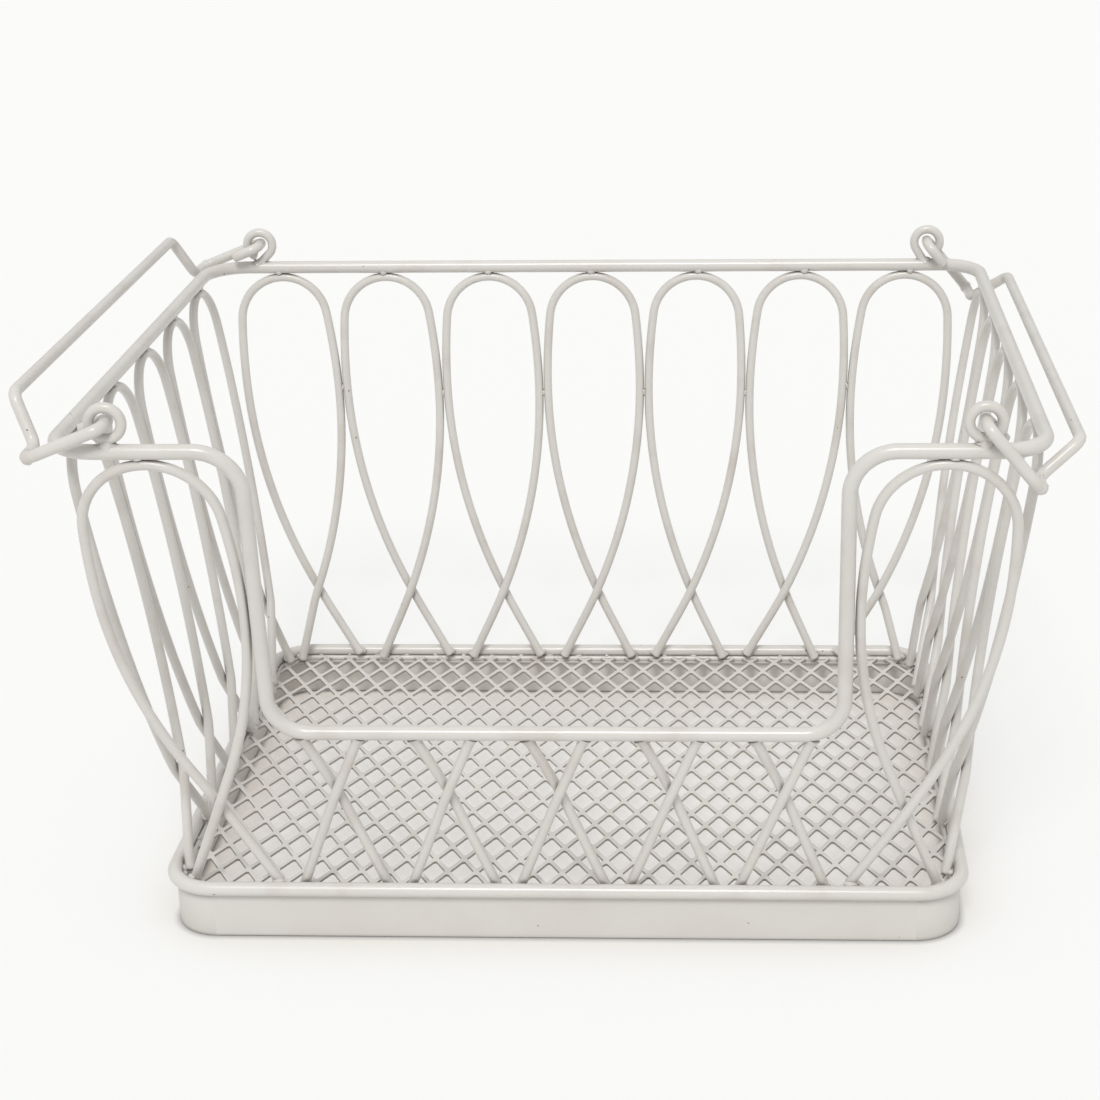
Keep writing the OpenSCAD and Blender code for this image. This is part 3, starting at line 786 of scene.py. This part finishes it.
def opening(middle):
    """Outline of one diamond opening, with its corners rounded."""
    half_x, half_y = MESH_PITCH / 2, MESH_OPENING / 2
    slope = math.atan2(half_x, half_y)
    reach = half_x * math.cos(slope)
    size = 1 - (MESH_STRAND / 2 + MESH_ROUNDING) / reach
    points = []
    for quarter in range(4):
        corner = size * Vector((half_x if quarter % 2 == 0 else 0, half_y if quarter % 2 else 0))
        spread = slope if quarter % 2 == 0 else math.pi / 2 - slope
        for i in range(4):
            turn = spread * (2 * i / 3 - 1) + quarter * math.pi / 2
            sign = -1 if quarter > 1 else 1
            points.append(sign * corner + MESH_ROUNDING * Vector((math.cos(turn), math.sin(turn))))
    return [middle + p.x / half_x * MESH_ACROSS + p.y / half_y * MESH_ALONG for p in points]


def area(points):
    """Area inside a closed outline."""
    return abs(sum(p.x * q.y - q.x * p.y for p, q in zip(points, points[1:] + points[:1]))) / 2


def strand_ends(half_x, half_y, corner):
    """The places where the strands of the mesh reach its edge, each with the strand's heading."""
    def inside(point):
        return pull_inside(point, half_x, half_y, corner) == point

    ends = []
    for knot in filter(inside, lattice(odd=0)):
        for strand in (MESH_ACROSS + MESH_ALONG, MESH_ACROSS - MESH_ALONG):
            for far in (knot + strand, knot - strand):
                if not inside(far):
                    steps = [knot.lerp(far, i / 40) for i in range(41)]
                    ends.append((max(filter(inside, steps), key=lambda p: (p - knot).length),
                                 math.atan2(strand.y, strand.x)))
    return ends


def nearest(first, second):
    """The closest points of two paths."""
    return min(((a, b) for a in first for b in second), key=lambda pair: (pair[0] - pair[1]).length_squared)


def dense(points, gap=4.0):
    """A path with more points along its straight stretches."""
    out = []
    for start, stop in zip(points, points[1:]):
        count = max(1, round((stop - start).length / gap))
        out += [start.lerp(stop, i / count) for i in range(count)]
    return out + [points[-1]]


def bead(chance, place, size, heading=0.0, spread=0.15):
    """A weld bead of about a size in millimetres and about a heading, a little different each time."""
    size = [value * chance.uniform(1 - spread, 1 + spread) for value in size]
    return place, size, [angle + chance.uniform(-0.2, 0.2) for angle in (0, 0, heading)]


def foot_bead(chance, foot, base):
    """The bead where a leg's foot stands beside the base rim."""
    beside = min(base, key=lambda p: (p - foot).length_squared)
    out = Vector((beside.x - foot.x, beside.y - foot.y, 0)).normalized()
    heading = math.atan2(-out.x, out.y)
    return bead(chance, foot + out * 2.8 + Vector((0, 0, 0.2)), (7.0, 5.6, 3.6), heading)


def frame_beads(paths, plans):
    """All the weld beads of the basket itself."""
    chance = random.Random(7)
    base = dense(ring_path(BASE_HALF_X, BASE_HALF_Y, BASE_CORNER, BASE_Z))
    beads = []
    for name, (place, leg, partner) in plans.items():
        heading = place.to_euler().z
        for side, size in ((-2.1, (5.6, 3.8, 4.8)), (0.8, (6.0, 3.6, 2.8))):
            top = place @ Vector((chance.uniform(-1, 1), HOOP_WIRE / 2 + 1.0, side))
            beads.append(bead(chance, top, size, heading))
    for wall, count in (("back", 7), ("left", 5), ("right", 5)):
        for i in range(1, count):
            one, two = (f"{wall}_hoop_{k}" for k in (i, i + 1))
            near, far = nearest(paths[one], paths[two])
            outward = plans[one][0].to_3x3() @ Vector((0, 0, 1))
            for side in (-1, 1):
                beads.append(bead(chance, (near + far) / 2 + outward * side * 0.9, (2.6, 2.6, 5.0)))
    for name, points in paths.items():
        feet = [points[0]] if name.startswith("front_strut") else [points[0], points[-1]]
        for foot in feet:
            beads.append(foot_bead(chance, foot, base))
    # The border and the edge of the sheet are tacked under the inner side of the rim.
    shrink = Vector((1 - TACK_INSET / BASE_HALF_X, 1 - TACK_INSET / BASE_HALF_Y, 1))
    for point in base[::5]:
        beads.append(bead(chance, point * shrink - Vector((0, 0, 2.4)), (4.0, 3.0, 2.4), spread=0.35))
    # The eyes stand in a pool of weld on the rim.
    for side_x in (-1, 1):
        for side_y, shift, width in ((-1, 0, 11.0), (1, -0.8 * side_x, 7.0)):
            seat = Vector((side_x * AXIS_X + shift, side_y * RIM_HALF_Y, RIM_Z + RIM_RADIUS - 0.5))
            beads.append(bead(chance, seat, (width, 6.4, 3.2), spread=0.05))
    return beads


class BasketSettings(bpy.types.PropertyGroup):
    """Sizes and colours a user would change."""

    light_hex: bpy.props.StringProperty(
        name="Light paint", description="Lighter tone of the paint", default="#d1cfca")
    shade_hex: bpy.props.StringProperty(
        name="Dark paint", description="Darker tone of the paint", default="#c8c4be")
    stain_hex: bpy.props.StringProperty(
        name="Stains", description="Colour of the stains", default="#b3a89c")
    # Colour of the painted shade in crevices and on the strands' side faces.
    painted_shade_hex: bpy.props.StringProperty(
        name="Painted shade", description="Colour of the dirt in crevices", default="#756d63")
    rust_hex: bpy.props.StringProperty(
        name="Rust", description="Colour of the bare spots", default="#6f5a49")
    floor_hex: bpy.props.StringProperty(
        name="Floor", description="Colour of the floor", default="#a4a4a2")
    glow: bpy.props.FloatProperty(
        name="Floor glow", description="Light that the table gives by itself", default=0.52, min=0, max=1)
    hoop_wire: bpy.props.FloatProperty(
        name="Hoop wire", description="Diameter of the hoop wires in millimetres",
        default=HOOP_WIRE, min=4, max=6)
    handle_wire: bpy.props.FloatProperty(
        name="Handle wire", description="Diameter of the handle wires in millimetres",
        default=HANDLE_WIRE, min=5, max=7)


class BASKET_OT_stage(bpy.types.Operator):
    """Adds the floor, the lights and the camera"""

    bl_idname = "basket.stage"
    bl_label = "Stage and camera"

    def execute(self, context):
        settings = context.scene.basket
        mesh = bpy.data.meshes.new("floor")
        size = 60.0
        corners = [(-size, -size, 0), (size, -size, 0), (size, size, 0), (-size, size, 0)]
        mesh.from_pydata(corners, [], [(0, 1, 2, 3)])
        floor = bpy.data.objects.new("floor", mesh)
        context.collection.objects.link(floor)
        mesh.materials.append(light_table("White light table", settings.floor_hex, settings.glow))
        context.scene.world = studio_world("Studio", 0.38, 0.8)
        context.scene.view_settings.view_transform = "Standard"
        # One very large softbox above and behind the camera.
        lamp = bpy.data.lights.new("Softbox", "SUN")
        lamp.energy = 1.6
        lamp.angle = math.radians(18)
        holder = bpy.data.objects.new("Softbox", lamp)
        context.collection.objects.link(holder)
        holder.matrix_world = Vector((0.06, 0.62, -0.78)).to_track_quat("-Z", "Y").to_matrix().to_4x4()
        self.add_camera(context)
        return {"FINISHED"}

    def add_camera(self, context):
        """The photograph's camera: its place, angles, lens and centre."""
        yaw, pitch, roll = (math.radians(a) for a in (CAMERA_YAW, CAMERA_PITCH, CAMERA_ROLL))
        ahead = Vector((math.sin(yaw) * math.cos(pitch), math.cos(yaw) * math.cos(pitch), -math.sin(pitch)))
        level = Vector((math.cos(yaw), -math.sin(yaw), 0))
        above = level.cross(ahead)
        right = math.cos(roll) * level + math.sin(roll) * above
        up = math.cos(roll) * above - math.sin(roll) * level
        data = bpy.data.cameras.new("Camera")
        data.sensor_width = SENSOR
        data.lens = FOCAL_PIXELS / FRAME_PIXELS * SENSOR
        data.shift_x = 0.5 - CENTRE_PIXELS[0] / FRAME_PIXELS
        data.shift_y = CENTRE_PIXELS[1] / FRAME_PIXELS - 0.5
        camera = bpy.data.objects.new("Camera", data)
        context.collection.objects.link(camera)
        turn = Matrix((right, up, -ahead)).transposed().to_4x4()
        camera.matrix_world = Matrix.Translation(Vector(CAMERA_PLACE) * MM) @ turn
        context.scene.camera = camera


class BASKET_OT_base(bpy.types.Operator):
    """Softens and paints the band and draws the base rim and the border of the floor"""

    bl_idname = "basket.base"
    bl_label = "Base"

    def execute(self, context):
        settings = context.scene.basket
        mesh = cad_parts["base_band"].data.copy()
        work = bmesh.new()
        work.from_mesh(mesh)
        bmesh.ops.remove_doubles(work, verts=work.verts, dist=0.001 * MM)
        work.to_mesh(mesh)
        work.free()
        mesh.materials.clear()
        mesh.materials.append(paint_on_strip(settings))
        band = place_piece("base_band_strip", mesh, "basket", "base_band")
        soften(band, 0.7)
        rim = ring_path(BASE_HALF_X, BASE_HALF_Y, BASE_CORNER, BASE_Z)
        draw_wire("base_rim_wire", [even(rim, closed=True)], 2 * RIM_RADIUS, "basket", "base_rim", settings)
        radius = BORDER_WIRE / 2
        middle = [value - radius for value in BORDER_HIGH]
        border = ring_path(middle[0], middle[1], BORDER_CORNER, middle[2])
        draw_wire("floor_border_wire", [even(border, closed=True)], BORDER_WIRE, "basket", "floor_border",
                  settings)
        return {"FINISHED"}


class BASKET_OT_mesh(bpy.types.Operator):
    """Softens and paints the expanded-metal floor and folds its edge over the border wire"""

    bl_idname = "basket.mesh"
    bl_label = "Floor mesh"

    def execute(self, context):
        settings = context.scene.basket
        outline = (MESH_HIGH[0], MESH_HIGH[1], BORDER_CORNER + 1)
        clear = [value - MESH_EDGE for value in outline]
        holes = [[pull_inside(p, *clear) for p in opening(middle)] for middle in lattice(odd=1)]
        rim = [p.to_2d() for p in ring_path(*outline, 0)]
        holes = [hole for hole in holes if area(hole) > SMALLEST_OPENING]
        curve = flat_curve("floor_outlines", [rim] + holes)
        tree = node_group("Perforated sheet", sheet_tree, paint_on_mesh(settings))
        sheet = draw("floor_mesh_sheet", curve, tree, {"Height": MESH_HIGH[2] * MM}, "basket", "floor_mesh")
        solid = sheet.modifiers.new("Sheet thickness", "SOLIDIFY")
        solid.thickness = (MESH_HIGH[2] - MESH_LOW[2]) * MM
        soften(sheet, 0.25)
        half_x, half_y, height = MESH_HIGH[0] - FOLD_INSET, MESH_HIGH[1] - FOLD_INSET, MESH_HIGH[2] - 0.5
        fold = ring_path(half_x, half_y, BORDER_CORNER - FOLD_INSET, height)
        draw_wire("floor_edge_fold", [even(fold, closed=True)], FOLD_WIDTH, "basket", None, settings)
        ends = strand_ends(half_x, half_y, BORDER_CORNER)
        mesh = bpy.data.meshes.new("strand_ends")
        mesh.from_pydata([(end.x * MM, end.y * MM, height * MM) for end, heading in ends], [], [])
        turns = mesh.attributes.new("turn", "FLOAT_VECTOR", "POINT")
        for item, (end, heading) in zip(turns.data, ends):
            item.vector = (0, 0, heading)
        tree = node_group("Edge knuckles", knuckle_tree, paint_on_mesh(settings))
        draw("floor_edge_knuckles", mesh, tree, {"Size": (6 * MM, 3.8 * MM, 3.6 * MM)}, "basket")
        return {"FINISHED"}


class BASKET_OT_rim(bpy.types.Operator):
    """Draws the top rim as one smooth closed wire"""

    bl_idname = "basket.rim"
    bl_label = "Top rim"

    def execute(self, context):
        draw_wire("top_rim_wire", [even(rim_path(), closed=True)], 2 * RIM_RADIUS, "basket", "top_rim",
                  context.scene.basket)
        return {"FINISHED"}


class BASKET_OT_hoops(bpy.types.Operator):
    """Draws every hoop and short front wire, and the welds that hold them"""

    bl_idname = "basket.hoops"
    bl_label = "Hoops and welds"

    def execute(self, context):
        settings = context.scene.basket
        plans = hoops()
        paths = {name: both_ways(*plan) for name, plan in plans.items()}
        for node, points in paths.items():
            path = foot_end(backwards(foot_end(even(points))))
            draw_wire(node + "_wire", [path], settings.hoop_wire, "basket", node, settings)
        for i in range(1, 11):
            node = f"front_strut_{i}"
            paths[node] = strut_path(i)
            # Paint runs together where a short wire meets the rim, so its top swells.
            path = foot_end(backwards(swell(even(paths[node]), 6.0, 1.5)))
            draw_wire(node + "_wire", [path], settings.hoop_wire, "basket", node, settings)
        draw_welds("frame_welds", frame_beads(paths, plans), "basket", settings)
        return {"FINISHED"}


class BASKET_OT_eyes(bpy.types.Operator):
    """Draws the four wire eyes that carry the handles"""

    bl_idname = "basket.eyes"
    bl_label = "Eyes"

    def execute(self, context):
        for side_y, row in ((-1, "front"), (1, "rear")):
            for side_x, wall in ((-1, "left"), (1, "right")):
                node = f"eye_{row}_{wall}"
                draw_wire(node + "_wire", eye_paths(side_x, side_y), HOOP_WIRE, "basket", node,
                          context.scene.basket)
        return {"FINISHED"}


class BASKET_OT_handles(bpy.types.Operator):
    """Draws the two bent wire handles and the welds at their elbows"""

    bl_idname = "basket.handles"
    bl_label = "Handles"

    def execute(self, context):
        settings = context.scene.basket
        chance = random.Random(3)
        for name, rest, side in (("left_handle", LEFT_REST, -1), ("right_handle", RIGHT_REST, 1)):
            place = handle_place(rest, side)
            # The cut tails have slightly rounded edges.
            path = swell(even([place @ p for p in handle_path()]), 0.8, 0.72)
            path = swell(backwards(path), 0.8, 0.72)
            draw_wire(name + "_wire", [path], settings.handle_wire, name + "_body", name, settings)
            beads = []
            for end in (-1, 1):
                corner = Vector((LOWER_ARM - 2.2, end * (RIM_HALF_Y + 6.6), 0))
                beads.append(bead(chance, place @ corner, (7.6, 7.6, 7.6), spread=0.03))
                for _ in range(3):
                    shift = Vector([chance.uniform(-1.6, 1.6) for _ in range(3)])
                    beads.append(bead(chance, place @ (corner + Vector((0.8, -3.2 * end, 0.8)) + shift),
                                      (2.4, 2.4, 2.4), spread=0.3))
            draw_welds(name + "_welds", beads, name + "_body", settings)
        return {"FINISHED"}


class BASKET_PT_panel(bpy.types.Panel):
    """Shows the basket's settings and a button for each step"""

    bl_idname = "BASKET_PT_panel"
    bl_label = "Wire Basket"
    bl_space_type = "VIEW_3D"
    bl_region_type = "UI"
    bl_category = "Wire Basket"

    def draw(self, context):
        for name in BasketSettings.__annotations__:
            self.layout.prop(context.scene.basket, name)
        for step in STEPS:
            self.layout.operator(step.bl_idname)


STEPS = (BASKET_OT_stage, BASKET_OT_base, BASKET_OT_mesh, BASKET_OT_rim, BASKET_OT_hoops, BASKET_OT_eyes,
         BASKET_OT_handles)
CLASSES = (BasketSettings,) + STEPS + (BASKET_PT_panel,)


def register():
    for item in CLASSES:
        bpy.utils.register_class(item)
    bpy.types.Scene.basket = bpy.props.PointerProperty(type=BasketSettings)


def unregister():
    del bpy.types.Scene.basket
    for item in reversed(CLASSES):
        bpy.utils.unregister_class(item)


def main():
    """Makes the basket in order."""
    register()
    bpy.ops.basket.stage()
    bpy.ops.basket.base()
    bpy.ops.basket.mesh()
    bpy.ops.basket.rim()
    bpy.ops.basket.hoops()
    bpy.ops.basket.eyes()
    bpy.ops.basket.handles()


if __name__ == "__main__":
    main()
